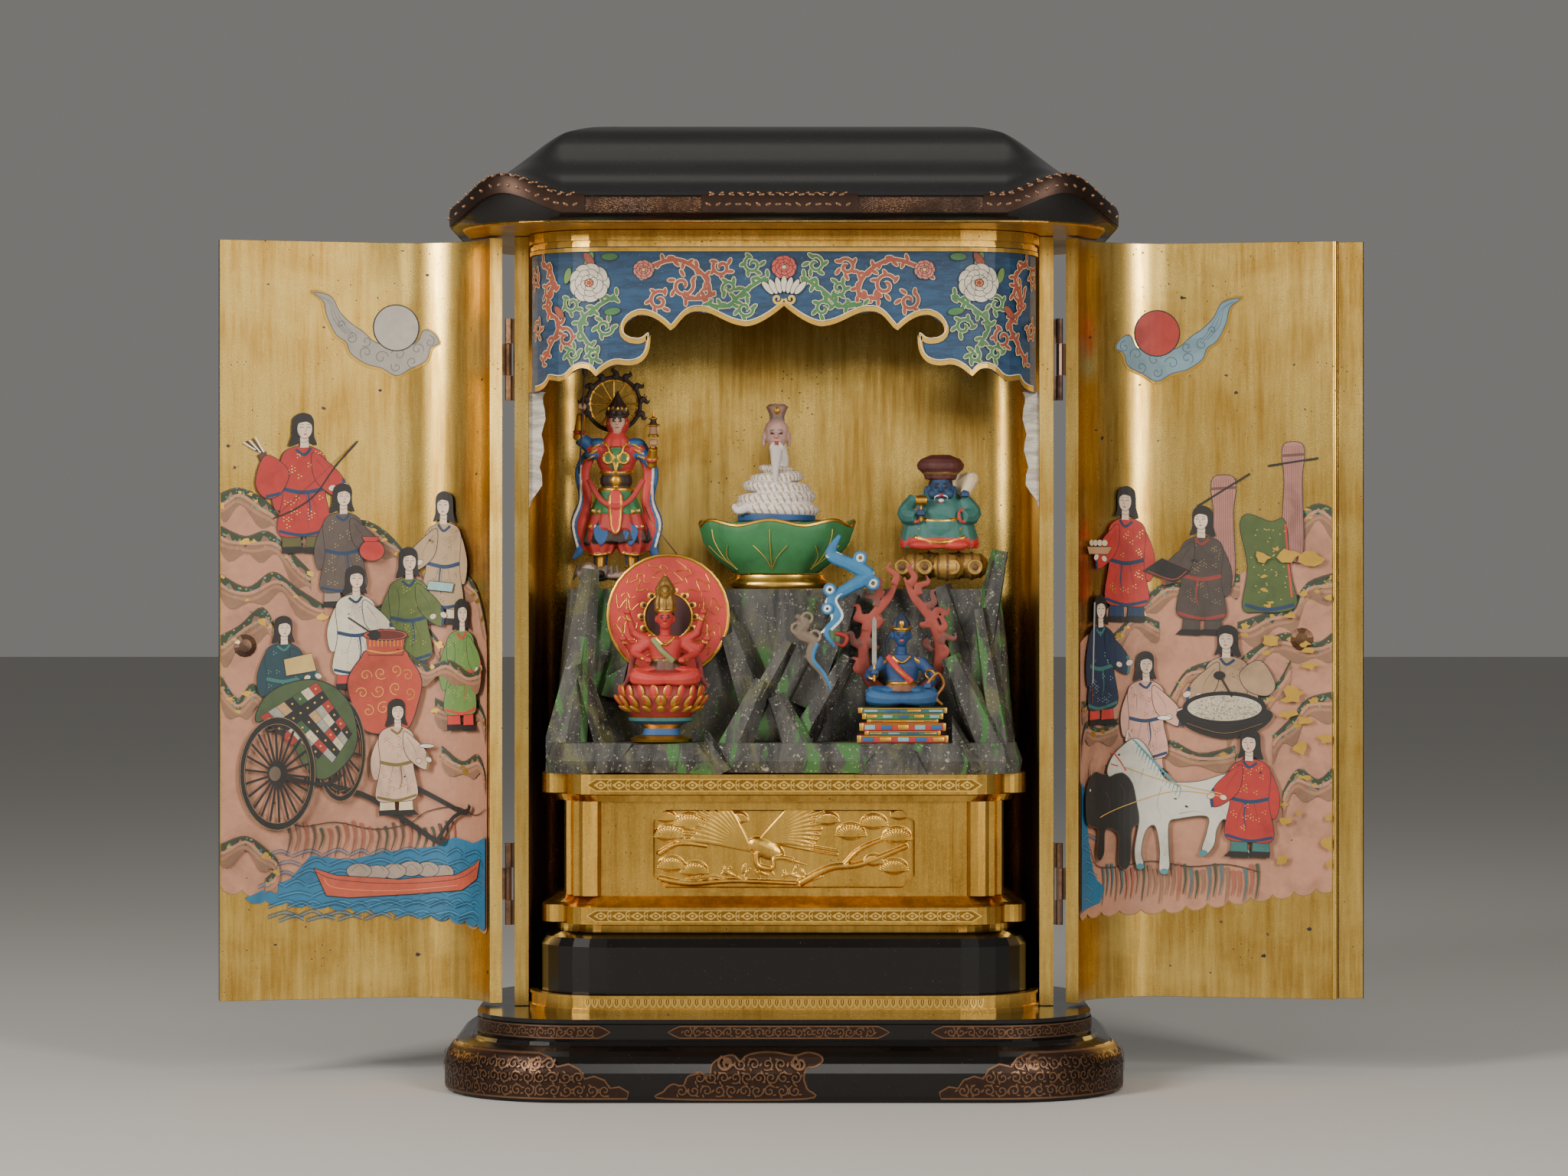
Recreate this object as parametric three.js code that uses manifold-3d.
// A portable Buddhist altar shrine with two doors that fold round its rounded front corners.
// Millimetres, +Z up, the front faces -Y. The origin is the middle of the plinth's underside.
// Doors are built shut about their hinge line and then swung open.
import * as THREE from "three";
import { mergeVertices } from "three/addons/utils/BufferGeometryUtils.js";
import Module from "manifold-3d";

const wasm = await Module();
wasm.setup();

// ---- driving dimensions ----
const HINGE_Y = -45; // plane of the side walls' front ends
const CASE = { half: 211, wall: 10.6, back: 120, rBack: 46, bottom: 59.6, top: 662.7 };
const DOOR = { bottom: 62.1, top: 661.5, thick: 9.3, rOut: 75.3, meet: 2.5, gap: 0.4 };
const HINGE = { x: 216, r: 2.6, pin: 1, bore: 1.4, height: 64, levels: [155.4, 566.4] };
const OPEN = { left: 166, right: 170 }; // degrees each door stands open
const ARC_X = CASE.half - DOOR.rOut; // centre of the doors' corner arc, left and right of the middle
const FITTED = DOOR.rOut - DOOR.thick - 1.6; // corner radius of what the shut doors enclose
const PLINTH = { half: 262, front: -175, back: 175, r: 100, h: 43.4 };
const STEP = { half: 238.5, front: -148, back: 148, r: 80, h: CASE.bottom - 43.4 };
const SILL_TOP = 73.6;
const DAIS = { half: 190.5, front: HINGE_Y - 53, back: 100, r: 54, top: 120.5 };
const ALTAR = { half: 190, front: HINGE_Y - 36, back: 72, base: 147.5, waist: 221.1, top: 242.5 };
const WAIST_HALF = 172;
const PANEL = { half: 102, low: 153.5, high: 214.5, recess: 7, notch: 11 };
const VALANCE = { thick: 6, top: 649.8, rim: 652.9 };
const LEDGE = 266.4; // rock ledge that the two front figures stand on
const EAVE = { half: 258, depth: 175, peakX: 208.6, peakY: 158, low: 664.3, high: 677, lift: 20 };

const CORNER = 8; // facets of a large rounded corner

const root = new THREE.Group();
const leftDoor = new THREE.Group();
const rightDoor = new THREE.Group();
root.add(leftDoor, rightDoor);

// ---- finishes ----
const finish = (color, roughness, metalness = 0) =>
  new THREE.MeshStandardMaterial({ color, roughness, metalness });
const GOLD = finish(0xcf9c3a, 0.32, 1);
const LACQUER = finish(0x0b0908, 0.12);
const BRONZE = finish(0x4a3d33, 0.42, 1);
const BLUE = finish(0x1f4a6e, 0.6);
const WHITE = finish(0xc9bfae, 0.75);
const ROCK = finish(0x2b2a27, 0.85);
const RED = finish(0xa8322a, 0.6);
const GREEN = finish(0x3c6a35, 0.6);
const INDIGO = finish(0x1c3558, 0.55);
const BROWN = finish(0x4a2f22, 0.7);

// ---- solids ----
const v3 = (x, y, z) => new THREE.Vector3(x, y, z);

function toSolid(geometry) {
  const g = geometry.index ? geometry.toNonIndexed() : geometry.clone();
  for (const name of Object.keys(g.attributes)) if (name !== "position") g.deleteAttribute(name);
  const m = mergeVertices(g, 1e-4);
  return new wasm.Manifold(
    new wasm.Mesh({
      numProp: 3,
      vertProperties: new Float32Array(m.attributes.position.array),
      triVerts: new Uint32Array(m.index.array),
    }),
  );
}

function toGeometry(solid) {
  const m = solid.getMesh();
  return new THREE.BufferGeometry()
    .setAttribute("position", new THREE.BufferAttribute(new Float32Array(m.vertProperties), 3))
    .setIndex(new THREE.BufferAttribute(new Uint32Array(m.triVerts), 1));
}

const join = (...list) =>
  toGeometry(list.flat(3).map(toSolid).reduce((a, b) => a.add(b)));
const cut = (body, ...tools) =>
  toGeometry(tools.flat().map(toSolid).reduce((a, b) => a.subtract(b), toSolid(body)));
const keepInside = (body, tool) => toGeometry(toSolid(body).intersect(toSolid(tool)));
// A carving is one body: hidden bubbles and the slivers that joining small parts leaves go.
function carved(geometry, tolerance = 1.5) {
  const whole = toSolid(geometry);
  const shells = (tolerance ? whole.simplify(tolerance) : whole).decompose();
  const largest = shells.reduce((a, b) => (a.volume() > b.volume() ? a : b));
  return toGeometry(largest);
}

function add(group, name, material, geometry) {
  geometry.computeVertexNormals();
  const mesh = new THREE.Mesh(geometry, material);
  mesh.name = name;
  group.add(mesh);
  return mesh;
}

// A block between two corners.
function block(low, high) {
  const size = high.clone().sub(low);
  const middle = low.clone().add(high).multiplyScalar(0.5);
  return new THREE.BoxGeometry(size.x, size.y, size.z).translate(middle.x, middle.y, middle.z);
}

// An ellipsoid with its own radii, turned and then placed.
function ball(radii, at, turn = [0, 0, 0], sides = 6) {
  return new THREE.SphereGeometry(1, sides, Math.max(4, Math.round(sides * 0.62)))
    .rotateX(Math.PI / 2)
    .scale(...radii)
    .applyMatrix4(new THREE.Matrix4().makeRotationFromEuler(new THREE.Euler(...turn)))
    .translate(...at);
}

// A tapered round bar between two points, run a little into its neighbours.
function limb(from, to, r0, r1, sides = 5) {
  const a = v3(...from);
  const b = v3(...to);
  const along = b.clone().sub(a);
  return new THREE.CylinderGeometry(r1, r0, along.length(), sides)
    .applyQuaternion(
      new THREE.Quaternion().setFromUnitVectors(v3(0, 1, 0), along.clone().normalize()),
    )
    .translate(...a.add(b).multiplyScalar(0.5).toArray());
}

// A round solid turned about Z from [radius, height] pairs that start and end on the axis.
const turned = (profile, sides, at = [0, 0, 0]) =>
  new THREE.LatheGeometry(profile.map(([r, h]) => new THREE.Vector2(r, h)), sides)
    .rotateX(Math.PI / 2)
    .translate(...at);

// The same, squeezed in Y to an oval plan.
const oval = (profile, sides, squash, at) => turned(profile, sides).scale(1, squash, 1).translate(...at);

// A flat shape drawn in X and Z, given a thickness towards +Y from y.
const slab = (shape, y, thick, curveSegments = 6) =>
  new THREE.ExtrudeGeometry(shape, { depth: thick, bevelEnabled: false, curveSegments })
    .rotateX(-Math.PI / 2)
    .translate(0, y, 0);

// A flat shape drawn in X and Y, standing from z0 to z1.
const prism = (shape, z0, z1, curveSegments = 6) =>
  new THREE.ExtrudeGeometry(shape, { depth: z1 - z0, bevelEnabled: false, curveSegments })
    .translate(0, 0, z0);

// A round bar swept along a curve.
const swept = (points, radius, steps, sides = 6) => {
  const section = new THREE.Shape(
    Array.from({ length: sides }, (_, i) => {
      const a = (2 * Math.PI * i) / sides;
      return new THREE.Vector2(radius * Math.cos(a), radius * Math.sin(a));
    }),
  );
  return new THREE.ExtrudeGeometry(section, {
    steps,
    extrudePath: new THREE.CatmullRomCurve3(points.map((p) => v3(...p))),
  });
};

const positions = (rings) =>
  new THREE.Float32BufferAttribute(rings.flat().flatMap((p) => [p.x, p.y, p.z]), 3);
// A ring of points through levels, closed below and above: rings is a list of lists of Vector3.
function loft(rings) {
  const n = rings[0].length;
  const faces = [];
  for (let k = 0; k + 1 < rings.length; k++)
    for (let i = 0; i < n; i++) {
      const j = (i + 1) % n;
      const [a, b, c, d] = [k * n + i, k * n + j, (k + 1) * n + j, (k + 1) * n + i];
      faces.push(a, b, c, a, c, d);
    }
  const cap = (ring, offset, up) =>
    THREE.ShapeUtils.triangulateShape(ring.map((p) => new THREE.Vector2(p.x, p.y)), []).forEach(
      ([a, b, c]) => faces.push(...(up ? [a, b, c] : [a, c, b]).map((q) => q + offset)),
    );
  cap(rings[0], 0, false);
  cap(rings[rings.length - 1], (rings.length - 1) * n, true);
  return new THREE.BufferGeometry()
    .setAttribute("position", positions(rings))
    .setIndex(faces);
}

// The outline of a rounded rectangle, anticlockwise from above, drawn in by inset.
function roundedPlan({ half, front, back, r }, inset = 0, steps = 6) {
  const radius = Math.max(r - inset, 2);
  const [w, f, b] = [half - inset, front + inset, back - inset];
  const centres = [
    [w - radius, f + radius, -90],
    [w - radius, b - radius, 0],
    [radius - w, b - radius, 90],
    [radius - w, f + radius, 180],
  ];
  return centres.flatMap(([cx, cy, start]) =>
    Array.from({ length: steps + 1 }, (_, i) => {
      const a = THREE.MathUtils.degToRad(start + (90 * i) / steps);
      return new THREE.Vector2(cx + radius * Math.cos(a), cy + radius * Math.sin(a));
    }),
  );
}

// A moulding: the plan drawn in by each step's inset at each step's height.
const moulded = (plan, profile, steps = 6) =>
  loft(profile.map(([inset, z]) => roundedPlan(plan, inset, steps).map((p) => v3(p.x, p.y, z))));

// The curve inside the shut doors: hinge line, corner arc, front, corner arc, hinge line.
function frontPath(radius, endY, steps = 7) {
  const arc = (side) =>
    Array.from({ length: steps + 1 }, (_, i) => {
      const a = ((side < 0 ? i : steps - i) / steps) * (Math.PI / 2);
      return new THREE.Vector2(
        side * (ARC_X + radius * Math.cos(a)),
        HINGE_Y - radius * Math.sin(a),
      );
    });
  return [
    new THREE.Vector2(-ARC_X - radius, endY),
    ...arc(-1),
    ...arc(1),
    new THREE.Vector2(ARC_X + radius, endY),
  ];
}

// A wall that follows that curve, from one radius in to another.
function frontWall(outer, inner, z0, z1, endY = HINGE_Y + 3, steps = 7) {
  const points = [...frontPath(outer, endY, steps), ...frontPath(inner, endY, steps).reverse()];
  return prism(new THREE.Shape(points), z0, z1);
}

// ---- plinth, step, case ----
add(root, "plinth", LACQUER, moulded(PLINTH, [
  [1, 0], [0, 5], [0, 22], [1.5, 29], [4.5, 34], [9, 37.5], [18.5, 40.6], [20, PLINTH.h],
], CORNER));
add(root, "base_step", LACQUER, moulded(STEP, [
  [1.2, PLINTH.h], [1.2, 55.6], [0, 56.4], [0, CASE.bottom],
], CORNER));

function caseShell() {
  const { half, wall, back, rBack, bottom, top } = CASE;
  const course = (inset) => {
    const [w, b, r] = [half - inset, back - inset, rBack - inset];
    const corner = (s) => Array.from({ length: CORNER }, (_, i) => {
      const a = (Math.PI / 2) * (s > 0 ? i / (CORNER - 1) : 1 - i / (CORNER - 1));
      return new THREE.Vector2(s * (w - r + r * Math.cos(a)), b - r + r * Math.sin(a));
    });
    return [new THREE.Vector2(w, HINGE_Y), ...corner(1), ...corner(-1), new THREE.Vector2(-w, HINGE_Y)];
  };
  return prism(new THREE.Shape([...course(0), ...course(wall).reverse()]), bottom, top);
}
add(root, "case_shell", LACQUER, caseShell());

// ---- gilt sill, dais, altar ----
add(root, "sill_moulding", GOLD, join(
  frontWall(FITTED - 0.6, FITTED - 8, CASE.bottom, 63.4),
  frontWall(FITTED - 2.2, FITTED - 8, 63.4 - 0.2, SILL_TOP - 1.6),
  frontWall(FITTED - 1, FITTED - 8, SILL_TOP - 1.8, SILL_TOP),
));
add(root, "dais", LACQUER, moulded(DAIS, [
  [0, CASE.bottom], [0, 110], [3, 116.5], [14, DAIS.top],
]));

// The altar's plan: a small round at the back corner, a notch, then the large round at the front.
function altarPlan(inset) {
  const [w, f] = [ALTAR.half - inset, ALTAR.front + inset];
  const big = 31 - inset * 0.4;
  const small = 13;
  const notch = 4;
  const edge = w - small - notch; // where the large round meets the notch
  const shape = new THREE.Shape();
  shape.moveTo(edge - big, f);
  shape.absellipse(edge - big, f + big, big, big, -Math.PI / 2, 0);
  shape.lineTo(w - small, f + big);
  shape.absellipse(w - small, f + big + small, small, small, -Math.PI / 2, 0);
  shape.lineTo(w, ALTAR.back - inset);
  shape.lineTo(-w, ALTAR.back - inset);
  shape.lineTo(-w, f + big + small);
  shape.absellipse(small - w, f + big + small, small, small, Math.PI, Math.PI * 1.5);
  shape.lineTo(-edge, f + big);
  shape.absellipse(big - edge, f + big, big, big, Math.PI, Math.PI * 1.5);
  return shape.getPoints(3).map((p) => new THREE.Vector2(p.x, p.y));
}
// getPoints repeats a point where a line meets an arc, so close repeats are dropped.
function altarMoulding(profile) {
  const tidy = (points) =>
    points.filter((p, i) => p.distanceTo(points[(i + 1) % points.length]) > 0.01);
  return loft(profile.map(([inset, z]) => tidy(altarPlan(inset)).map((p) => v3(p.x, p.y, z))));
}
add(root, "altar_base", GOLD, altarMoulding([
  [11, DAIS.top], [11, 124.5], [0, 126.2], [0, 139.5], [5, 141.6], [13, ALTAR.base],
]));
add(root, "altar_top", GOLD, altarMoulding([
  [11, ALTAR.waist], [9, 225.8], [0, 227.2], [0, ALTAR.top],
]));

// The panel's window, with indented corners.
function windowShape(grow = 0) {
  const { half, low, high, notch } = PANEL;
  const [w, b, t, n] = [half + grow, low - grow, high + grow, notch];
  const m = n * 0.55;
  const shape = new THREE.Shape();
  shape.moveTo(-w + n, -b);
  shape.quadraticCurveTo(-w + m, -b - 1, -w + m, -b - m);
  shape.quadraticCurveTo(-w, -b - m, -w, -b - n);
  shape.lineTo(-w, -t + n);
  shape.quadraticCurveTo(-w, -t + m, -w + m, -t + m);
  shape.quadraticCurveTo(-w + m, -t + 1, -w + n, -t);
  shape.lineTo(w - n, -t);
  shape.quadraticCurveTo(w - m, -t + 1, w - m, -t + m);
  shape.quadraticCurveTo(w, -t + m, w, -t + n);
  shape.lineTo(w, -b - n);
  shape.quadraticCurveTo(w, -b - m, w - m, -b - m);
  shape.quadraticCurveTo(w - m, -b - 1, w - n, -b);
  return shape;
}

const WAIST_FRONT = ALTAR.front + 16; // face of the panel board
function altarWaist() {
  const [z0, z1] = [ALTAR.base, ALTAR.waist];
  const column = (x, y, r, sides) => [-1, 1].map((s) => new THREE.CylinderGeometry(r, r, z1 - z0, sides)
    .rotateX(Math.PI / 2).translate(s * x, y, (z0 + z1) / 2));
  const body = join(
    block(v3(-WAIST_HALF + 8, WAIST_FRONT, z0), v3(WAIST_HALF - 8, ALTAR.back - 14, z1)),
    block(v3(-WAIST_HALF, WAIST_FRONT + 22, z0), v3(WAIST_HALF, ALTAR.back - 14.5, z1)),
    column(WAIST_HALF - 21, WAIST_FRONT + 7, 11.5, 12),
    column(WAIST_HALF - 5.2, WAIST_FRONT + 19, 5, 8),
    [-1, 1].map((s) =>
      block(v3(s * 134 - 2, WAIST_FRONT - 2.2, z0), v3(s * 134 + 2, WAIST_FRONT + 3, z1))),
    block(v3(-133, WAIST_FRONT - 1.6, z0), v3(133, WAIST_FRONT + 2, z0 + 3)),
  );
  return cut(body, slab(windowShape(), WAIST_FRONT - 3, PANEL.recess + 3, 3));
}
add(root, "altar_waist", GOLD, altarWaist());

// Crane and pines, carved on a board that fits the window.
function cranePanel() {
  const y = WAIST_FRONT + PANEL.recess - 2.4; // face of the ground
  const z = (PANEL.low + PANEL.high) / 2;
  const ground = slab(windowShape(-0.1), y, 2.1, 3);
  const sprig = ([x, h, r, lean], i) => {
    const fan = new THREE.Shape();
    fan.moveTo(0, 0);
    for (let k = 0; k <= 4; k++) {
      const a = Math.PI * (0.04 + 0.23 * k);
      const reach = r * (k % 2 ? 0.8 : 1);
      fan.lineTo(reach * Math.cos(a), -reach * Math.sin(a) * 0.85);
    }
    return slab(fan, -2.3 - 0.11 * i, 3, 1).rotateY(lean).translate(x, y, z + h);
  };
  const feathers = (x, h, reach, from, to, count) =>
    Array.from({ length: count }, (_, i) => {
      const a = from + ((to - from) * i) / (count - 1);
      const far = reach * (1 - 0.05 * i);
      const tip = [x + far * Math.cos(a), y - 1, z + h + far * Math.sin(a)];
      return limb([x, y - 1.6, z + h], tip, 2.6, 1.2, 4);
    });
  const branch = (points, r) => swept(points.map(([x, h]) => [x, y, z + h]), r, 3, 4);
  const neck = [[-22, -5], [-18, -14], [-8, -15], [-8, -8], [-2, -7], [6, -9]];
  const crane = [
    ball([15, 4.6, 8], [-14, y - 1, z + 1], [0, -0.45, 0]),
    feathers(-26, -2, 52, 2.95, 2.62, 3),
    feathers(-20, 6, 62, 0.62, 0.2, 4),
    swept(neck.map(([a, b]) => [a, y - 2.4, z + b]), 2, 7, 4),
    limb([4, y - 2.4, z - 9], [21, y - 1.6, z - 15], 1.5, 0.5, 4),
    limb([-2, y - 1.5, z + 6], [40, y - 1, z - 6], 2, 1.4, 4),
  ];
  const sprigs = [
    [-88, 6, 16, 0.2], [-70, 15, 15, -0.1], [-84, -19, 15, 0.2], [-64, -20, 14, -0.2],
    [54, 9, 17, 0.1], [75, 14, 14, -0.1], [86, -19, 15, 0.25],
  ];
  return join(
    ground,
    crane,
    sprigs.map(sprig),
    branch([[-96, -22], [-60, -24], [20, -26]], 2.6),
    branch([[16, -26], [36, -14], [94, 4]], 3),
  );
}
add(root, "crane_panel", GOLD, carved(keepInside(cranePanel(),
  slab(windowShape(-0.5), WAIST_FRONT - 2, PANEL.recess + 1.6, 3)), 0.25));

// ---- cornice, valance and its side brackets ----
add(root, "cornice", GOLD, join(
  frontWall(FITTED - 1.4, FITTED - 10, VALANCE.top, VALANCE.rim),
  frontWall(FITTED - 3, FITTED - 10, VALANCE.rim - 0.2, 655),
  frontWall(FITTED, FITTED - 10, 654.8, CASE.top - 0.3),
));

// The valance's lower edge, from the middle peak out to the tip, mirrored.
function valanceOpening() {
  const shape = new THREE.Shape();
  const right = (s) => {
    const c = (...n) => n.map((q, i) => (i % 2 ? -q : s * q)); // slab() turns -Y up
    return [
      c(12, 594, 24, 588, 30, 588.6), c(46, 590, 54, 602, 69, 600), c(78, 599, 82, 590, 87, 585.4),
      c(94, 593, 104, 599, 113, 597), c(128, 593, 130, 575, 113, 575), c(108, 575, 107, 578, 104.4, 579.5),
      c(104, 562, 112, 557.5, 123, 558.6), c(132, 561, 139, 556, 144.5, 550.2),
      c(149, 558, 158, 559, 165, 552), c(172, 543, 176, 549, 182, 548), c(184, 541, 190, 540, 193, 540),
    ];
  };
  shape.moveTo(0, -605);
  right(1).forEach((q) => shape.bezierCurveTo(...q));
  shape.lineTo(215, -540);
  shape.lineTo(215, -480);
  shape.lineTo(-215, -480);
  shape.lineTo(-215, -540);
  shape.lineTo(-193, -540);
  const back = right(-1);
  for (let i = back.length - 1; i >= 0; i--) {
    const [ax, ay, bx, by] = back[i];
    const [ex, ey] = i ? back[i - 1].slice(4) : [0, -605];
    shape.bezierCurveTo(bx, by, ax, ay, ex, ey);
  }
  return shape;
}
add(root, "valance", BLUE, cut(
  frontWall(FITTED - 2.6, FITTED - 2.6 - VALANCE.thick, 500, VALANCE.top, HINGE_Y + 2),
  slab(valanceOpening(), -150, 160, 3),
));
const curl = (s) => ball([3.4, 2, 3.4], [s * 3.2, HINGE_Y - FITTED + 0.6, 609.5]);
add(root, "valance_curls", GOLD, join(curl(-1), curl(1)));

// A scalloped white bracket that hangs inside each side wall, level with the valance's ends.
function sideBracket(s) {
  const x = (n) => s * (CASE.half - CASE.wall - 0.4 - n);
  const shape = new THREE.Shape();
  shape.moveTo(x(0), -450);
  shape.bezierCurveTo(x(1), -462, x(14), -463, x(10), -476);
  shape.bezierCurveTo(x(4), -484, x(15), -492, x(11), -502);
  shape.bezierCurveTo(x(6), -510, x(16), -516, x(12), -528);
  shape.quadraticCurveTo(x(9), -538, x(13), -541);
  shape.lineTo(x(0), -541);
  return slab(shape, HINGE_Y + 3, 3, 4);
}
add(root, "side_bracket_left", WHITE, sideBracket(-1));
add(root, "side_bracket_right", WHITE, sideBracket(1));

// ---- rockwork: leaning slabs heaped between the altar and the upper figures ----
function rockwork() {
  const base = ALTAR.top;
  const foot = moulded({ half: 185, front: HINGE_Y - 24, back: 100, r: 26 }, [
    [0, base], [-2, base + 10], [3, LEDGE],
  ], 3);
  const wall = moulded({ half: 184, front: HINGE_Y + 27, back: 99, r: 18 }, [
    [0, LEDGE - 1], [4, 300], [7, 345], [12, 386.5],
  ], 3);
  // x, y, foot height, top height, half width, lean
  const stones = [
    [-166, -38, 240, 350, 17, 0.18], [-146, -46, 240, 330, 13, -0.3], [-160, -10, 300, 403, 15, 0.12],
    [-118, -62, 240, 292, 10, 0.6], [-60, -64, 240, 289, 13, -0.5], [-32, -56, 240, 318, 14, 0.42],
    [-22, -48, 240, 352, 16, 0.5], [6, -58, 240, 306, 14, -0.4], [26, -46, 240, 340, 15, 0.52],
    [34, -18, 290, 388, 18, 0.4], [-34, -18, 290, 372, 16, -0.35], [134, -58, 240, 300, 13, -0.5],
    [150, -46, 240, 338, 15, -0.42], [164, -38, 240, 372, 15, -0.16], [160, -8, 300, 418, 14, 0.2],
    [138, -6, 300, 391, 16, -0.3], [-128, -12, 300, 390, 16, 0.25], [88, -70, 240, 262, 30, 0.1],
  ];
  const slabs = stones.map(([x, y, z0, z1, w, lean], i) => {
    const h = z1 - z0;
    return new THREE.CylinderGeometry(w * 0.5, w * 1.05, h, 5, 2)
      .rotateX(Math.PI / 2)
      .scale(1.1, 0.72, 1)
      .rotateZ(i * 1.3)
      .rotateY(lean)
      .translate(x, y, (z0 + z1) / 2);
  });
  const trim = block(v3(-187, HINGE_Y - 28, base), v3(187, 103, 430));
  const room = [
    block(v3(-132, -75, LEDGE), v3(-62, -24, 300)),
    block(v3(54, -75, LEDGE), v3(131, -24, 300)),
    block(v3(-76, -10, 386.6), v3(66, 60, 440)),
    block(v3(88, -10, 393.2), v3(160, 60, 440)),
    block(v3(-176, -4, 391), v3(-98, 60, 440)),
    block(v3(-142, -24.5, LEDGE), v3(-41, -21.2, 420)),
    block(v3(44, -30, LEDGE), v3(142, -23.2, 420)),
  ];
  return cut(keepInside(join(foot, wall, slabs), trim), room);
}
add(root, "rockwork", ROCK, carved(rockwork()));

// ---- guardian on the left ----
const BACK_ROW = 20; // y of the upper figures
const boots = (x, y, grow) => [-1, 1].map((s) => [
  limb([x + s * 13, y, 399], [x + s * 9, y, 440], 5.5 + grow, 8 + grow, 8),
  ball([7 + grow, 12 + grow, 4 + grow], [x + s * 14, y - 5, 400]),
]);
function guardian() {
  const [x, y] = [-134, BACK_ROW];
  const skirtLine = [[0, 428], [26, 428], [30, 436], [23, 452], [17, 470], [13, 482], [0, 482]];
  const pagodaLine = [[0, 506], [5.6, 506], [4.4, 511], [4.4, 517], [7, 518.5], [1.5, 524], [0, 529]];
  const scarf = (s) => [
    [x + s * 20, y + 6, 498], [x + s * 31, y + 8, 468], [x + s * 27, y + 6, 439], [x + s * 34, y + 5, 416],
  ];
  return join(
    oval(skirtLine, 10, 0.6, [x, y, 0]),
    boots(x, y, 0),
    ball([17, 11.5, 19], [x, y, 493]), ball([13, 10, 11], [x, y - 3, 478]),
    ball([9, 9.5, 11], [x + 1, y - 4, 519], [0, 0, 0], 7),
    turned([[0, 524], [9, 524], [6, 535], [0, 545]], 7, [x + 1, y - 3, 0]),
    ball([8.5, 8, 7.5], [x - 17, y, 500]), ball([8.5, 8, 7.5], [x + 18, y, 500]),
    limb([x - 18, y, 500], [x - 30, y - 4, 512], 6, 4.6),
    limb([x - 30, y - 4, 511], [x - 27, y - 9, 532], 4.8, 3.6),
    ball([4.4, 4.2, 5], [x - 27, y - 9, 534]),
    limb([x + 19, y, 499], [x + 29, y - 5, 486], 6, 4.6),
    limb([x + 29, y - 4, 486], [x + 30, y - 14, 502], 4.8, 3.6),
    ball([4.6, 4.4, 4], [x + 30, y - 14, 504.5]),
    turned(pagodaLine, 6, [x + 30, y - 14, 0]),
    limb([x - 28, y - 11, 478], [x - 25, y - 11, 559], 1.2, 1.2, 4),
    ball([3, 2.6, 5.4], [x - 25, y - 11, 560], [0, 0, 0], 5),
    swept(scarf(-1), 4.4, 6, 5),
    swept(scarf(1), 4.4, 6, 5),
  );
}
add(root, "guardian", INDIGO, carved(guardian()));
// An open ring of flames behind the guardian's head.
function flameRing() {
  const at = [-136.8, BACK_ROW + 15, 535];
  const spot = (a, r, rise = r) => [at[0] + r * Math.cos(a), at[1], at[2] + rise * Math.sin(a)];
  const flames = Array.from({ length: 7 }, (_, i) => {
    const a = Math.PI * (-0.12 + (1.24 * i) / 6);
    return limb(spot(a, 20.4), spot(a, 30, 31), 3.2, 0.9, 4);
  });
  const cross = [0.3, 0.3 + Math.PI / 2].map((a) => limb(spot(a, -20.5), spot(a, 20.5), 1, 1, 4));
  const ring = new THREE.TorusGeometry(21, 1.9, 4, 18).rotateX(Math.PI / 2).translate(...at);
  return carved(join(ring, flames, cross), 0.4);
}
add(root, "guardian_halo", GOLD, flameRing());
add(root, "demon", WHITE, carved(cut(join(
  ball([17, 14, 7.6], [-153, BACK_ROW - 5, 399]),
  ball([26, 15, 5], [-124, BACK_ROW - 2, 396.2]),
), boots(-134, BACK_ROW, 2).flat(), block(v3(-180, -40, 380), v3(-90, 60, 391.9))), 0));

// ---- coiled serpent with a human head on a lotus leaf ----
const SERPENT_X = -6;
function serpent() {
  const y = BACK_ROW;
  const turn = (r, z, from, to, n) =>
    Array.from({ length: n }, (_, i) => {
      const k = i / (n - 1);
      const a = from + (to - from) * k;
      return [SERPENT_X + r * Math.cos(a), y + r * 0.8 * Math.sin(a), z + 4 * k];
    });
  const coil = swept([
    ...turn(24, 452, 0.4, 6.4, 9), ...turn(17.5, 467, 6.9, 12.5, 8),
    [SERPENT_X - 2, y - 12, 478], [SERPENT_X + 3, y - 4, 486], [SERPENT_X, y, 497],
  ], 7.2, 30, 6);
  const tail = [
    [SERPENT_X - 18, y - 18, 455], [SERPENT_X - 32, y - 20, 449], [SERPENT_X - 36, y - 12, 455],
  ];
  return join(
    coil,
    turned([[0, 445], [30, 445], [31, 450], [20, 458], [14, 474], [0, 476]], 12, [SERPENT_X, y, 0]),
    ball([10.5, 10.5, 13], [SERPENT_X, y - 2, 510], [0, 0, 0], 8),
    ball([6, 6, 5.5], [SERPENT_X + 0.5, y - 1, 524]),
    turned([[0, 526], [4.6, 526], [5, 534], [0, 535]], 6, [SERPENT_X + 0.5, y - 1, 0]),
    limb([SERPENT_X, y - 9, 503], [SERPENT_X - 1, y - 17, 474], 5.2, 1.2, 6),
    swept(tail, 4, 4, 5),
  );
}
add(root, "serpent", WHITE, carved(serpent()));
add(root, "leaf_bowl", GREEN, oval([
  [0, 398.4], [34, 398.4], [50, 410], [60, 424], [63.5, 440], [65.4, 441.4], [63.8, 442.8],
  [55, 437.6], [40, 436.8], [36, 444.4], [0, 444.4],
], 20, 0.62, [SERPENT_X, BACK_ROW, 0]));
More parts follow.
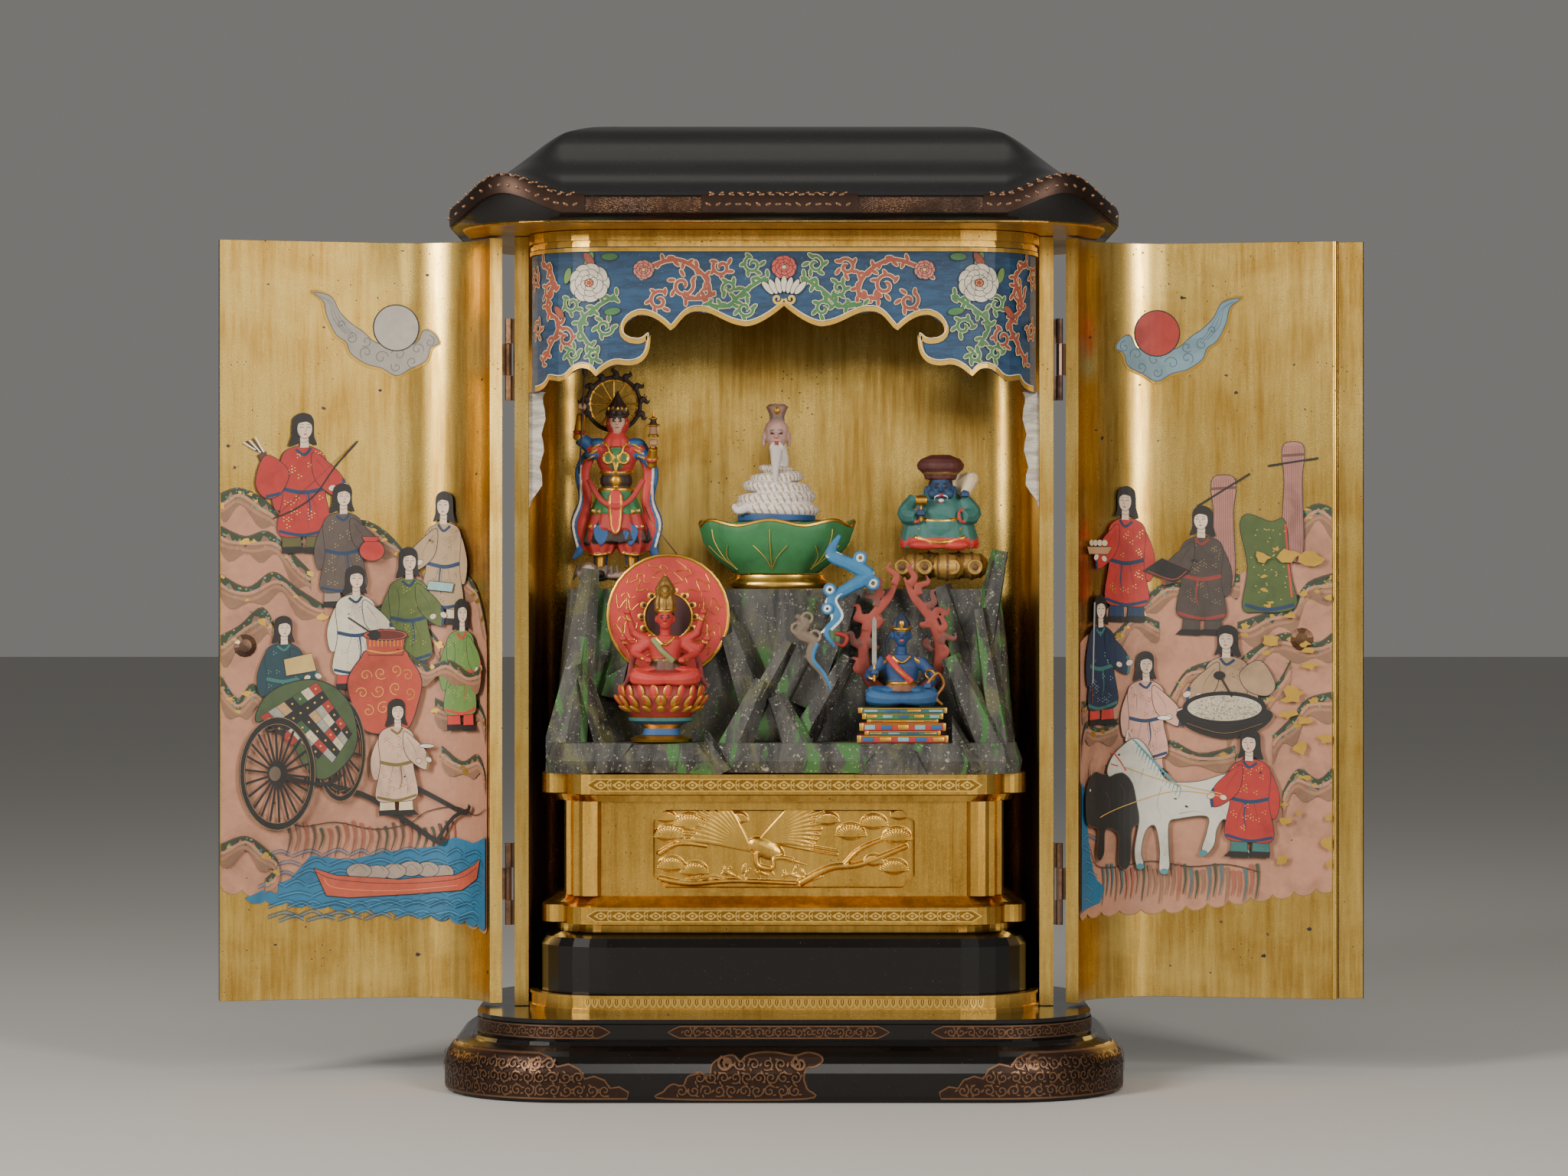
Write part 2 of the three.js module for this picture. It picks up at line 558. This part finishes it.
add(root, "leaf_foot", GOLD, oval([
  [0, 386.9], [38, 386.9], [40, 389], [40, 392], [36, 395], [36, 398.1], [0, 398.1],
], 16, 0.62, [SERPENT_X + 3, BACK_ROW, 0]));

// ---- round seated figure with a sack on rice bales ----
function seatedElder() {
  const [x, y] = [124, BACK_ROW];
  const capLine = [[0, 474], [11, 474], [12.5, 478], [18.6, 484], [18, 489.5], [0, 495.5]];
  return join(
    ball([29, 19, 20], [x, y, 438], [0, 0, 0], 8), ball([23, 17, 20], [x, y, 452], [0, 0, 0], 8),
    ball([15, 10, 9], [x - 16, y - 9, 428]), ball([15, 10, 9], [x + 16, y - 9, 428]),
    ball([11, 9, 6], [x - 12, y - 15, 421.6]), ball([11, 9, 6], [x + 12, y - 15, 421.6]),
    ball([10.6, 10.6, 12], [x + 1, y - 5, 467], [0, 0, 0], 8),
    turned(capLine, 12, [x, y - 3, 0]),
    ball([8, 9, 13], [x - 21, y - 3, 452], [0, 0.3, 0]), ball([8, 9, 13], [x + 21, y - 3, 452], [0, -0.3, 0]),
    limb([x - 23, y - 8, 446], [x - 17, y - 18, 452], 5, 4), ball([4.6, 4, 4.6], [x - 17, y - 19, 453]),
    limb([x - 17, y - 22, 446], [x - 17, y - 20, 464], 1.4, 1.4, 4),
    limb([x - 21, y - 20, 464], [x - 12, y - 20, 464], 3.6, 3.6, 6),
    ball([14, 9, 12], [x + 19, y + 7, 472]),
  );
}
add(root, "seated_elder", BROWN, carved(seatedElder()));
const bale = (x, z) => new THREE.CylinderGeometry(11.8, 11.8, 34, 10).rotateZ(Math.PI / 2)
  .scale(1, 1.2, 1).translate(x, BACK_ROW, z);
add(root, "rice_bales", GOLD, cut(
  join(bale(106, 405.3), bale(142, 405.3), bale(124, 405.6)),
  block(v3(80, -20, 416.4), v3(170, 60, 440)),
  ball([33, 24, 21], [124, BACK_ROW, 438], [0, 0, 0], 8),
));

// ---- red figure with many arms, seated before a red disc ----
const FRONT_ROW = -47; // y of the lower figures
function redFigure() {
  const [x, y] = [-93, FRONT_ROW];
  const arm = (s, [a, b, c], [d, e, f], grip) => {
    const [shoulder, elbow, hand] = [[x + s * 13, y, 343], [x + s * a, y + b, c], [x + s * d, y + e, f]];
    const held = grip && limb([hand[0], hand[1], f - grip], [hand[0], hand[1], f + grip], 1.3, 1.3, 4);
    return [
      limb(shoulder, elbow, 4.4, 3.6), limb(elbow, hand, 3.7, 2.8),
      ball([3.6, 3.4, 3.8], hand, [0, 0, 0], 5), held,
    ].filter(Boolean);
  };
  const scarf = (s) => [
    [x + s * 14, y + 2, 344], [x + s * 26, y + 4, 330], [x + s * 29, y, 315], [x + s * 36, y + 1, 302],
  ];
  const crownLine = [[0, 370], [10, 370], [11.4, 375], [10, 381], [11, 386], [3, 399], [0, 400]];
  return join(
    ball([15, 10.5, 17], [x, y, 335], [0, 0, 0], 7), ball([26, 15, 8], [x, y - 3, 319.4], [0, 0, 0], 8),
    ball([13, 9, 6.6], [x - 17, y - 7, 318]), ball([13, 9, 6.6], [x + 17, y - 7, 318]),
    ball([9.4, 9.4, 11], [x, y - 3, 364.5], [0, 0, 0], 7), limb([x, y, 348], [x, y - 1, 357], 5.5, 5.5, 6),
    turned(crownLine, 8, [x, y - 2, 0]),
    ball([7.4, 6, 5.4], [x, y - 8, 384.6], [0, 0, 0], 5),
    [-1, 1].map((s) => [
      arm(s, [25, 0, 334], [17, -11, 328], 0), arm(s, [28, 2, 340], [34, -6, 352], 10),
      arm(s, [26, 4, 351], [33, -2, 371], 12),
      swept(scarf(s), 2.6, 5, 4),
    ]),
    limb([x, y, 311.6], [x, y, 318], 24, 24, 10),
  );
}
const redRoom = block(v3(-150, -75, 312.2), v3(-40, -24.4, 402));
add(root, "red_figure", RED, carved(keepInside(redFigure(), redRoom)));
add(root, "red_halo", RED, join(
  new THREE.CylinderGeometry(49.2, 49.2, 1.6, 32).translate(-91.4, -22.6, 365.6),
  block(v3(-99, -23.4, LEDGE + 0.2), v3(-84, -21.8, 325)),
));
const petals = (n, z, r, size, tilt) => Array.from({ length: n }, (_, i) => {
  const a = (2 * Math.PI * i) / n;
  return new THREE.SphereGeometry(1, 4, 3).rotateX(Math.PI / 2).scale(...size)
    .rotateY(tilt).rotateZ(a).translate(r * Math.cos(a), r * Math.sin(a), 0)
    .scale(1, 0.58, 1).translate(-96, FRONT_ROW, z);
});
const standLine = [[0, 266.6], [25, 266.6], [26, 269], [15, 275], [15, 280], [24, 284], [24, 287], [0, 287]];
add(root, "lotus_throne", RED, carved(keepInside(join(
  oval([[0, 285], [22, 285], [33, 292], [36, 303], [34, 311.9], [0, 311.9]], 14, 0.58, [-96, FRONT_ROW, 0]),
  petals(12, 300, 35, [4.8, 9.4, 11.6], 0.32),
  petals(12, 289.5, 27, [4.8, 7.6, 8], 0.75),
  oval(standLine, 14, 0.6, [-96, FRONT_ROW, 0]),
), block(v3(-150, -80, LEDGE + 0.2), v3(-50, -24.6, 311.9)))));

// ---- blue figure before a flame-shaped back, on tiered blocks ----
function blueFigure() {
  const [x, y] = [92, FRONT_ROW];
  const rope = [[x + 20, y - 14, 311], [x + 30, y - 10, 302], [x + 36, y - 6, 290]];
  const sash = [[x - 12, y - 7, 336], [x, y - 12, 326], [x + 14, y - 9, 314]];
  return join(
    ball([16, 11, 18], [x, y, 322], [0, 0, 0], 7), ball([27, 15, 8], [x, y - 3, 303.4], [0, 0, 0], 8),
    ball([13, 9, 7], [x - 18, y - 6, 302]), ball([13, 9, 7], [x + 18, y - 6, 302]),
    ball([9.6, 9.4, 11.5], [x, y - 3, 350], [0, 0, 0], 7), limb([x, y, 334], [x, y - 1, 343], 5.8, 5.8, 6),
    ball([10.4, 9.6, 6], [x, y - 1, 357]), ball([4, 4, 4.6], [x, y - 2, 364], [0, 0, 0], 5),
    limb([x - 14, y, 331], [x - 28, y - 2, 318], 5.2, 4.4),
    limb([x - 28, y - 2, 318], [x - 22, y - 12, 322], 4.2, 3.4),
    limb([x - 22, y - 13, 312], [x - 22, y - 12, 368], 1.5, 1.2, 4),
    ball([4.2, 3.8, 4.2], [x - 22, y - 12, 323]),
    limb([x + 14, y, 331], [x + 28, y - 2, 316], 5.2, 4.4),
    limb([x + 28, y - 2, 316], [x + 20, y - 12, 310], 4.2, 3.4),
    ball([4.4, 4, 4], [x + 20, y - 13, 310]),
    swept(rope, 1.6, 4, 4),
    swept(sash, 3, 4, 4),
    limb([x, y, 294], [x, y, 302], 25, 25, 10),
  );
}
const blueRoom = block(v3(30, -75, 294.6), v3(150, -27.4, 402));
add(root, "blue_figure", BLUE, carved(keepInside(blueFigure(), blueRoom)));
// Flames that rise round the figure and leave a pointed opening behind its body.
function mandorla() {
  const right = [[36, 300], [47, 322], [44, 340], [46, 356], [38, 372], [34, 386], [22, 396], [3, 412]];
  const inside = [[17, 315], [23, 334], [20, 356], [9, 374]];
  const outline = (points, top, foot) => new THREE.Shape([
    new THREE.Vector2(0, -foot),
    ...points.map(([x, z]) => new THREE.Vector2(x, -z)),
    new THREE.Vector2(0, -top),
    ...points.slice().reverse().map(([x, z]) => new THREE.Vector2(-x, -z)),
  ]);
  const flame = slab(outline(right, 413, 300), -26.8, 3);
  return cut(flame, slab(outline(inside, 386, 309), -28, 6)).translate(92.6, 0, 0);
}
add(root, "flame_back", RED, join(
  mandorla(), block(v3(78, -26.8, LEDGE + 0.2), v3(108, -23.8, 310)),
));
const tiers = [
  [35, 17, LEDGE + 0.2, 273], [29, 14, 272.9, 276], [33, 16, 275.9, 282.4], [27, 13, 282.3, 285],
  [31, 15, 284.9, 290.2], [34, 17, 290.1, 294.2],
];
add(root, "tiered_throne", GREEN, join(tiers.map(([w, d, z0, z1]) =>
  block(v3(93 - w, FRONT_ROW - 1 - d, z0), v3(93 + w, FRONT_ROW - 1 + d, z1)))));

// ---- carved clouds that stand up from the rocks ----
const ribbonLine = [
  [44, -32, 430], [36, -34, 414], [53, -36, 406], [65, -36, 397], [49, -36, 390], [36, -38, 378],
  [41, -42, 364], [33, -46, 352], [39, -48, 340],
];
const wispLine = [
  [8, -78, 366], [17, -79, 360], [12, -79, 352], [24, -79, 346],
  [20, -78, 334], [30, -77, 322], [35, -76, 309],
];
add(root, "cloud_ribbon", BLUE, swept(ribbonLine, 4.2, 22, 5));
add(root, "cloud_small", BLUE, swept(wispLine, 3.6, 15, 5));

// ---- roof ----
add(root, "roof_slab", GOLD, moulded({ half: 249, front: -166, back: 166, r: 86 }, [
  [1.5, 663], [0, 664], [0, 669.4], [1, 670],
], 7));

// The roof's plan about its middle, with each corner drawn up to a soft peak.
const LOBE = { steps: 40, spread: 0.17 };
function eaveRing(inset, z, lift) {
  const centre = { x: EAVE.half - 90, y: EAVE.depth - 90 };
  const peakAt = Math.atan2(EAVE.peakY - centre.y, EAVE.peakX - centre.x);
  return Array.from({ length: LOBE.steps }, (_, i) => {
    const quadrant = Math.floor(i / (LOBE.steps / 4));
    const k = (i % (LOBE.steps / 4)) / (LOBE.steps / 4 - 1);
    const a = k * (Math.PI / 2);
    const flip = [[1, 1], [-1, 1], [-1, -1], [1, -1]][quadrant];
    const angle = quadrant % 2 ? Math.PI / 2 - a : a;
    const near = Math.exp(-(((angle - peakAt) / 0.42) ** 2));
    const out = 90 - inset + lift * LOBE.spread * near;
    const [x, y] = [centre.x + out * Math.cos(angle), centre.y + out * Math.sin(angle)];
    return v3(flip[0] * x, flip[1] * y, z + lift * near);
  });
}
const domeRings = [
  [7, 664.6, 0], [1.4, 664.6, 20], [1.2, 676.6, 21], [4, 679, 20], [22, 691, 11], [48, 711, 3],
  [74, 731, 0.5], [98, 743, 0], [128, 748.4, 0],
];
function dome() {
  const rings = domeRings.map(([inset, z, lift]) => (inset < 89 ? eaveRing(inset, z, lift)
    : eaveRing(88, z, 0).map((p) => v3(p.x * (1 - (inset - 88) / 190), p.y * (1 - (inset - 88) / 96), p.z))));
  const recess = moulded({ half: 249.3, front: -166.3, back: 166.3, r: 86.3 }, [[0, 655], [0, 670.3]], 7);
  return cut(loft(rings), recess);
}
add(root, "roof_dome", LACQUER, dome());

// A band round the eave: its section is closed and so is its length.
function eaveBand() {
  const section = [[1, 664.9, 20], [0, 664.9, 20], [0, 676.2, 21], [1, 676.2, 21]];
  const rings = section.map((level) => eaveRing(...level));
  const n = rings[0].length;
  const faces = [];
  for (let k = 0; k < 4; k++)
    for (let i = 0; i < n; i++) {
      const [j, m] = [(i + 1) % n, (k + 1) % 4];
      faces.push(k * n + i, m * n + j, k * n + j, k * n + i, m * n + i, m * n + j);
    }
  return new THREE.BufferGeometry()
    .setAttribute("position", positions(rings))
    .setIndex(faces.reverse());
}
add(root, "eave_band", BRONZE, eaveBand());

// ---- metal fittings that wrap the plinth and the step ----
// Closed strip over part of a rounded plan; sides lists [distance out, height] from below.
function wrapped(plan, keep, sides, thick) {
  const path = roundedPlan(plan, 0, CORNER).map((p, i, all) => {
    const [a, b] = [all[(i + all.length - 1) % all.length], all[(i + 1) % all.length]];
    const normal = new THREE.Vector2(b.y - a.y, a.x - b.x).normalize();
    return { p, normal };
  });
  const chosen = keep(path);
  const section = [...sides.map(([o, z]) => [o + thick, z]), ...sides.slice().reverse()];
  const rings = chosen.map(({ p, normal }) =>
    section.map(([o, z]) => v3(p.x + normal.x * o, p.y + normal.y * o, z)));
  const n = section.length;
  const faces = [];
  for (let k = 0; k + 1 < rings.length; k++)
    for (let i = 0; i < n; i++) {
      const j = (i + 1) % n;
      faces.push(k * n + i, (k + 1) * n + j, k * n + j, k * n + i, (k + 1) * n + i, (k + 1) * n + j);
    }
  const caps = THREE.ShapeUtils.triangulateShape(section.map(([o, z]) => new THREE.Vector2(o, z)), []);
  const last = (rings.length - 1) * n;
  caps.forEach(([a, b, c]) => faces.push(a, b, c, last + c, last + b, last + a));
  return new THREE.BufferGeometry().setAttribute("position", positions(rings)).setIndex(faces);
}
// The corner at the front right: from a point on the front to a point on the side.
const frontRight = (plan, reach, side) => (path) => {
  const [ahead, right] = [new THREE.Vector2(0, -1), new THREE.Vector2(1, 0)];
  const arc = path.filter(({ p }) => p.y < 0 && p.x > plan.half - plan.r - 0.01);
  arc[0].normal = ahead;
  arc[arc.length - 1].normal = right;
  return [
    { p: new THREE.Vector2(plan.half - reach, plan.front), normal: ahead },
    ...arc,
    { p: new THREE.Vector2(plan.half, plan.front + side), normal: right },
  ];
};
const frontMiddle = (plan, from, to) => () => [from, to].map((x) => ({
  p: new THREE.Vector2(x, plan.front), normal: new THREE.Vector2(0, -1),
}));
const flipX = (geometry) => mirrored(geometry.clone().scale(-1, 1, 1));
function mirrored(geometry) {
  const g = geometry.index ? geometry.toNonIndexed() : geometry;
  const p = g.attributes.position.array;
  for (let i = 0; i < p.length; i += 9)
    for (let k = 0; k < 3; k++) [p[i + 3 + k], p[i + 6 + k]] = [p[i + 6 + k], p[i + 3 + k]];
  return g;
}
const plinthSides = [[0.3, 2.4], [0.3, 22], [-1.2, 29], [-4.2, 34]];
const stepSides = [[-0.9, PLINTH.h + 1.6], [-0.9, 55]];
const fitting = (name, geometry) => add(root, name, BRONZE, geometry);
const plinthCorner = wrapped(PLINTH, frontRight(PLINTH, 146, 120), plinthSides, 0.9);
fitting("plinth_corner_right", plinthCorner);
fitting("plinth_corner_left", flipX(plinthCorner));
fitting("plinth_centre", wrapped(PLINTH, frontMiddle(PLINTH, -86, -2), plinthSides, 0.9));
fitting("step_corner_right", wrapped(STEP, frontRight(STEP, 118, 96), stepSides, 0.7));
fitting("step_corner_left", flipX(wrapped(STEP, frontRight(STEP, 98, 96), stepSides, 0.7)));
fitting("step_centre", wrapped(STEP, frontMiddle(STEP, -79, 71), stepSides, 0.7));

// ---- doors ----
// Each leaf is drawn shut on the right-hand side, then mirrored if need be, about its hinge line.
function doorShape(outer, inner, edge, firstY = HINGE_Y - 0.4, steps = 8) {
  const arc = (radius, i) => {
    const a = (i / steps) * (Math.PI / 2);
    return new THREE.Vector2(ARC_X + radius * Math.cos(a), HINGE_Y - radius * Math.sin(a));
  };
  const course = (radius) => [
    new THREE.Vector2(ARC_X + radius, firstY),
    ...Array.from({ length: steps }, (_, i) => arc(radius, i + 1)),
    new THREE.Vector2(edge, HINGE_Y - radius),
  ];
  return new THREE.Shape([...course(outer), ...course(inner).reverse()]);
}
const INNER = DOOR.rOut - DOOR.thick;
const leaf = (edge) => prism(doorShape(DOOR.rOut, INNER, edge), DOOR.bottom, DOOR.top);
// A geometry drawn shut goes to its group, whose pivot is the hinge line.
const hung = (geometry, s, open) => (s < 0 ? flipX(geometry) : geometry.clone())
  .translate(-s * HINGE.x, -HINGE_Y, 0)
  .rotateZ(THREE.MathUtils.degToRad(s * open))
  .translate(s * HINGE.x, HINGE_Y, 0);
const SIDES = [["left", -1, leftDoor, OPEN.left], ["right", 1, rightDoor, OPEN.right]];
const boss = (x, z) => turned([[0, 0], [9.5, 0], [9, 1.8], [5, 3.8], [0, 4.2]], 14)
  .rotateX(-Math.PI / 2).translate(x, HINGE_Y - INNER + 0.1, z);
// The right leaf ends in a bead, which stands a little proud of its inner face.
const BEAD = 2.4;
const beaded = (edge) => join(leaf(edge + 2),
  new THREE.CylinderGeometry(BEAD, BEAD, DOOR.top - DOOR.bottom, 8)
    .rotateX(Math.PI / 2)
    .translate(edge + BEAD, HINGE_Y - INNER - 2, (DOOR.top + DOOR.bottom) / 2));
for (const [side, s, group, open] of SIDES) {
  const shut = s < 0 ? leaf(-DOOR.meet + 0.2) : beaded(DOOR.meet + 0.2);
  add(group, `door_${side}`, LACQUER, hung(shut, s, open));
  add(group, `door_boss_${side}`, BRONZE, hung(boss(s < 0 ? 17.3 : 30.6, s < 0 ? 342 : 346.7), s, open));
}
// A cover strip on the right leaf laps over the left one.
const STRIP = { lap: 20, land: 10, thick: 4.6 };
function coverStrip() {
  const y = HINGE_Y - DOOR.rOut - 0.4;
  const section = new THREE.Shape();
  const [x0, x1] = [DOOR.meet - STRIP.lap, DOOR.meet + STRIP.land];
  section.moveTo(x0 + 0.6, y);
  section.lineTo(x0, y - 0.8);
  section.lineTo(x0 + 1.6, y - STRIP.thick);
  section.lineTo(x1 - 1.6, y - STRIP.thick);
  section.lineTo(x1, y - 0.8);
  section.lineTo(x1 - 0.6, y);
  return prism(section, DOOR.bottom, DOOR.top);
}
add(rightDoor, "cover_strip", LACQUER, hung(coverStrip(), 1, OPEN.right));

// ---- hinges ----
const knuckle = (z, half) => new THREE.CylinderGeometry(HINGE.r, HINGE.r, 2 * half, 8)
  .rotateX(Math.PI / 2).translate(HINGE.x, HINGE_Y, z);
const MIDDLE = 12.4; // half height of the door's knuckle
function caseHinge(z) {
  const end = (HINGE.height / 2 - MIDDLE - 0.3) / 2;
  const levels = [-1, 1].map((k) => z + k * (MIDDLE + 0.3 + end));
  const [inside, reach] = [CASE.half + 0.2, HINGE.height / 2];
  const plate = block(v3(inside, HINGE_Y + 1, z - reach), v3(inside + 1, HINGE_Y + 20, z + reach));
  const tabs = levels.map((at) =>
    block(v3(inside, HINGE_Y + 0.4, at - end), v3(HINGE.x, HINGE_Y + 1.6, at + end)));
  const knuckles = levels.map((at) => knuckle(at, end));
  const pin = new THREE.CylinderGeometry(HINGE.pin, HINGE.pin, HINGE.height, 6)
    .rotateX(Math.PI / 2).translate(HINGE.x, HINGE_Y, z);
  return join(plate, tabs, knuckles, pin);
}
function doorHinge(z) {
  const outer = DOOR.rOut + 0.3;
  const plate = prism(doorShape(outer + 1, outer, ARC_X - 10, HINGE_Y - 0.6), z - MIDDLE, z + MIDDLE);
  const near = block(v3(ARC_X + outer - 6, HINGE_Y - 20, z - 40), v3(HINGE.x + 4, HINGE_Y - 0.5, z + 40));
  const tab = block(v3(CASE.half + 0.3, HINGE_Y - 2, z - MIDDLE), v3(HINGE.x, HINGE_Y - 0.7, z + MIDDLE));
  const bore = new THREE.CylinderGeometry(HINGE.bore, HINGE.bore, HINGE.height, 8)
    .rotateX(Math.PI / 2).translate(HINGE.x, HINGE_Y, z);
  return cut(join(keepInside(plate, near), tab, knuckle(z, MIDDLE)), bore);
}
for (const [side, s, group, open] of SIDES)
  HINGE.levels.forEach((z, i) => {
    const level = i ? "upper" : "lower";
    const fixed = caseHinge(z);
    add(root, `case_hinge_${side}_${level}`, BRONZE, s < 0 ? flipX(fixed) : fixed);
    add(group, `door_hinge_${side}_${level}`, BRONZE, hung(doorHinge(z), s, open));
  });

export default root;
